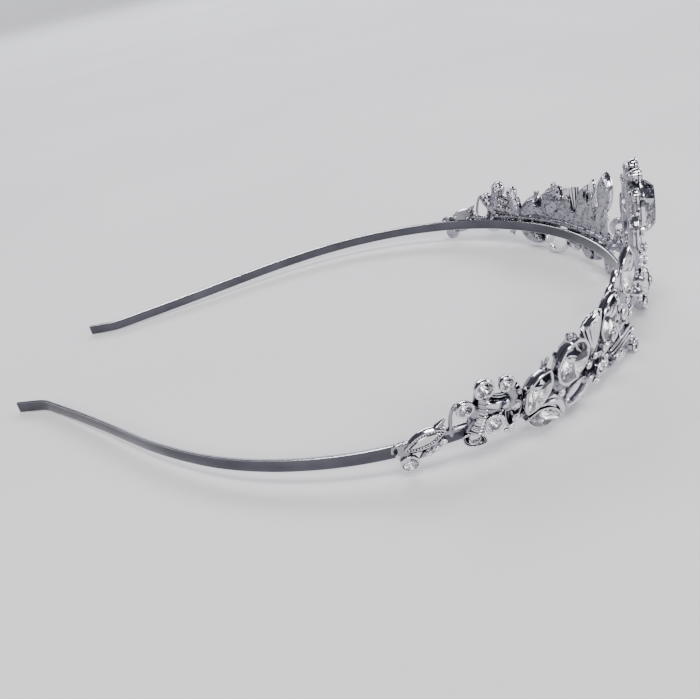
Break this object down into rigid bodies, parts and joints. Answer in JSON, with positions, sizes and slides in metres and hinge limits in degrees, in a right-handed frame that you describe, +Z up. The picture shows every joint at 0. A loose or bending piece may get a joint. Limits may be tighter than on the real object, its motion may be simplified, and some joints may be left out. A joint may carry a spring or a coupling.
{
  "type": "crystal tiara",
  "caption": "Head band tiara: a sprung steel strip bent to a horseshoe, with cast leaf sprays, cup settings and cut crystals soldered round its front and rising to a centre stone.",
  "frame": {"origin": "centre of the bounding box's base, on the surface that the tiara rests on", "axes": "+Z up; the ornament faces -Y, the two arms run back to +Y, and the wearer's right is -X"},
  "size_m": [0.129, 0.1676, 0.0381],
  "materials": {
    "spring_steel": "polished strip with bright edges",
    "plated_casting": "bright plated casting, darker in its hollows",
    "cut_crystal": "clear, faceted, foiled at the back",
    "small_crystal": "clear, faceted, foiled at the back"
  },
  "bodies": {
    "root": {"headband": "spring_steel", "spray_right": "plated_casting", "spray_left": "plated_casting", "centre_setting": "plated_casting", "accents_right": "small_crystal", "accents_left": "small_crystal", "accents_centre": "small_crystal", "stone_end_right": "cut_crystal", "stone_bud_low_right": "cut_crystal", "stone_bud_high_right": "cut_crystal", "stone_bud_inner_right": "cut_crystal", "stone_roped_right": "cut_crystal", "stone_bell_right": "cut_crystal", "stone_leaf_upper_right": "cut_crystal", "stone_leaf_lower_right": "cut_crystal", "stone_cushion_right": "cut_crystal", "stone_blade_outer_right": "cut_crystal", "stone_blade_inner_right": "cut_crystal", "stone_blossom_right": "cut_crystal", "stone_drop_right": "cut_crystal", "stone_end_left": "cut_crystal", "stone_bud_low_left": "cut_crystal", "stone_bud_high_left": "cut_crystal", "stone_bud_inner_left": "cut_crystal", "stone_roped_left": "cut_crystal", "stone_bell_left": "cut_crystal", "stone_leaf_upper_left": "cut_crystal", "stone_leaf_lower_left": "cut_crystal", "stone_cushion_left": "cut_crystal", "stone_blade_outer_left": "cut_crystal", "stone_blade_inner_left": "cut_crystal", "stone_blossom_left": "cut_crystal", "stone_drop_left": "cut_crystal", "stone_crystal": "cut_crystal", "stone_crown": "cut_crystal", "stone_halo_right": "cut_crystal", "stone_halo_left": "cut_crystal", "stone_shoulder_right": "cut_crystal", "stone_shoulder_left": "cut_crystal", "stone_flank_right": "cut_crystal", "stone_flank_left": "cut_crystal", "stone_flower": "cut_crystal", "stone_pendant": "cut_crystal"}
  },
  "joints": []
}
